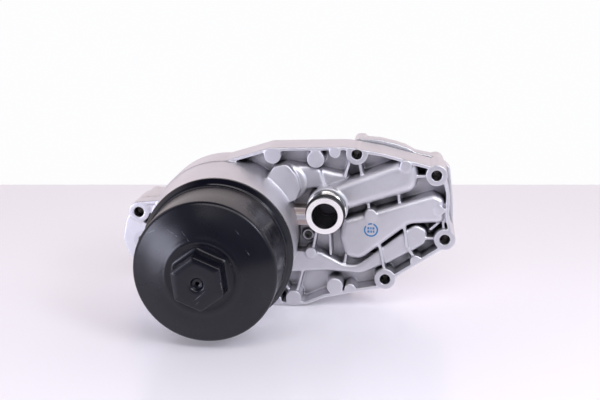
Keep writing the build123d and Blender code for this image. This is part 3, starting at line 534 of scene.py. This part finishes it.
def coil(node_name, wire, turns, around=20, per_turn=48):
    """Helical spring in the space of its CAD node, with closed end turns."""
    low, high = (Vector(corner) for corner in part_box(node_name))
    centre = (low + high) / 2
    radius = (high.x - low.x) / 2 - wire
    steps = int((turns + 2) * per_turn)
    path = []
    for k in range(steps + 1):
        turn = k / per_turn
        share = min(max((turn - 1) / turns, 0.0), 1.0)
        y = low.y + wire + (high.y - low.y - 2 * wire) * share
        path.append(Vector((centre.x + radius * math.cos(TAU * turn), y, centre.z + radius * math.sin(TAU * turn))))
    bm = bmesh.new()
    rows = []
    for k, point in enumerate(path):
        out = Vector((point.x - centre.x, 0, point.z - centre.z)).normalized()
        ahead = (path[min(k + 1, steps)] - path[max(k - 1, 0)]).normalized()
        up = ahead.cross(out)
        rows.append([bm.verts.new(point + wire * (math.cos(TAU * i / around) * out + math.sin(TAU * i / around) * up))
                     for i in range(around)])
    for a, b in zip(rows, rows[1:]):
        bridge(bm, a, b)
    bm.faces.new(rows[0])
    bm.faces.new(rows[-1])
    return finished(bm, "coil")


def sheet(name, corners, colour, rough):
    """Flat stage piece that gives off a little light."""
    mesh = bpy.data.meshes.new(name)
    mesh.from_pydata(corners, [], [(0, 1, 2, 3)])
    obj = bpy.data.objects.new(name, mesh)
    bpy.context.scene.collection.objects.link(obj)
    mat, _, bsdf = shader(name, Base_Color=colour + (1,), Roughness=rough)
    bsdf.inputs["Emission Color"].default_value = FLOOR_GLOW
    bsdf.inputs["Emission Strength"].default_value = 1.0
    mesh.materials.append(mat)


def turned_about(x, y):
    """Point of the floor after turning it square to the camera."""
    c, t = math.cos(CAM_AZIMUTH), math.sin(CAM_AZIMUTH)
    return (c * x - t * y, t * x + c * y, FLOOR_Z * MM)


def softbox(name, place, target, size, power, colour):
    """Rectangular light that shines from place to target."""
    light = bpy.data.lights.new(name, "AREA")
    light.shape = "RECTANGLE"
    light.size, light.size_y = size
    light.energy = power
    light.color = colour
    obj = bpy.data.objects.new(name, light)
    obj.location = place
    obj.rotation_euler = (Vector(target) - Vector(place)).to_track_quat("-Z", "Y").to_euler()
    bpy.context.scene.collection.objects.link(obj)


# Materials
housing_metal = cast_metal("housing_cast", (0.78, 0.765, 0.80), 0.44, stamp=True)
jacket_metal = cast_metal("jacket_cast", (0.80, 0.79, 0.82), 0.46)
pipe_metal = turned_metal("turned_steel", (1.0, 0.985, 0.965), 0.15, TUBE_AT)
black_cap = cap_plastic()
rubber = soft_material("seal_rubber", (0.018, 0.018, 0.019), 0.42)
finishes = {
    "seal_rubber": rubber,
    "gasket_sheet": soft_material("gasket_sheet", (0.30, 0.30, 0.31), 0.5),
    "zinc_steel": plain_metal("zinc_steel", (0.68, 0.67, 0.62), 0.3),
    "cooler_core": plain_metal("brazed_sheet", (0.78, 0.77, 0.75), 0.38),
    "valve_plastic": soft_material("valve_nylon", (0.06, 0.06, 0.065), 0.45),
    "filter_paper": soft_material("filter_paper", (0.72, 0.58, 0.33), 0.85, 500, 0.5),
    "plate_felt": soft_material("plate_felt", (0.74, 0.72, 0.66), 0.95, 350, 0.7),
    "spring_steel": plain_metal("spring_steel", (0.60, 0.60, 0.60), 0.28),
    "turned_pipe": pipe_metal,
    "cap_plastic": black_cap,
    "cast_housing": housing_metal,
    "cast_jacket": jacket_metal,
}
for entry in frame["record"]["subparts"]:
    data = frame["nodes"][entry["node"]].data
    data.materials.clear()
    data.materials.append(finishes[entry["material_slot"]])
frame["nodes"]["gallery_plug"].data.materials[0] = plain_metal("oiled_steel", (0.11, 0.11, 0.105), 0.35)

# Castings
new_piece("housing_casting", cast_copy("housing", *HOUSING_COPY), housing_metal, "housing",
          "cast_housing", "housing")
new_piece("jacket_casting", cast_copy("jacket", *JACKET_COPY), jacket_metal, "housing",
          "cast_jacket", "jacket")

# Cap
new_piece("cap_shell", lathe(CAP_SKIRT + CAP_DOME + CAP_INSIDE[::-1], (0, 0), 240, HEX_TURN), black_cap,
          "cap", "cap_plastic", "filter_cap")
new_piece("cap_thread", thread_ridge(*THREAD), black_cap, "cap", "cap_plastic")

# Coolant pipe
new_piece("coolant_pipe_turned", lathe(PIPE, TUBE_AT, 160, sharp=18), pipe_metal, "housing", "turned_pipe",
          "coolant_pipe")

# Valve springs, drawn as coils in place of their CAD nodes
for spring, joint, body, fixed, travel in SPRINGS:
    piece = new_piece(spring + "_coil", coil(spring, WIRE_R * MM, SPRING_TURNS), finishes["spring_steel"], body,
                      "spring_steel", spring)
    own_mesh(piece)

# Floor
sheet("floor", [turned_about(x, y) for x, y in ((-FLOOR_HALF, FLOOR_FRONT), (FLOOR_HALF, FLOOR_FRONT),
                                                (FLOOR_HALF, FLOOR_BACK), (-FLOOR_HALF, FLOOR_BACK))],
      (0.88, 0.86, 0.90), 0.24)

# Light
world = bpy.data.worlds.new("studio")
bpy.context.scene.world = world
world.use_nodes = True
tree = world.node_tree
direction = node(tree, "ShaderNodeSeparateXYZ", {0: node(tree, "ShaderNodeTexCoord").outputs["Generated"]})
aside = math_node(tree, "ABSOLUTE", direction.outputs[0])
studio = WORLD_FRONT
for value, start, end, colour in ((aside, 0.45, 0.85, WORLD_SIDE), (direction.outputs[1], -0.2, 0.3, WORLD_BACK),
                                  (direction.outputs[2], 0.65, 0.9, WORLD_TOP),
                                  (direction.outputs[2], 0.0, -0.15, WORLD_BELOW)):
    share = node(tree, "ShaderNodeMapRange", {0: value, 1: start, 2: end}).outputs[0]
    studio = mix_colour(tree, share, studio, colour)
seen = node(tree, "ShaderNodeLightPath").outputs["Is Camera Ray"]
tree.links.new(mix_colour(tree, seen, studio, WORLD_SEEN), tree.nodes["Background"].inputs[0])
bpy.context.scene.view_settings.view_transform = "Standard"
for box in SOFTBOXES:
    softbox(*box)

# Camera
camera = bpy.data.cameras.new("camera")
camera.lens = CAM_LENS
camera.sensor_width = 36
back = Vector((math.sin(CAM_AZIMUTH) * math.cos(CAM_ELEVATION),
               -math.cos(CAM_AZIMUTH) * math.cos(CAM_ELEVATION), math.sin(CAM_ELEVATION)))
eye = bpy.data.objects.new("camera", camera)
eye.location = LOOK_AT + back * CAM_DISTANCE
eye.rotation_euler = (-back).to_track_quat("-Z", "Y").to_euler()
bpy.context.scene.collection.objects.link(eye)
bpy.context.scene.camera = eye
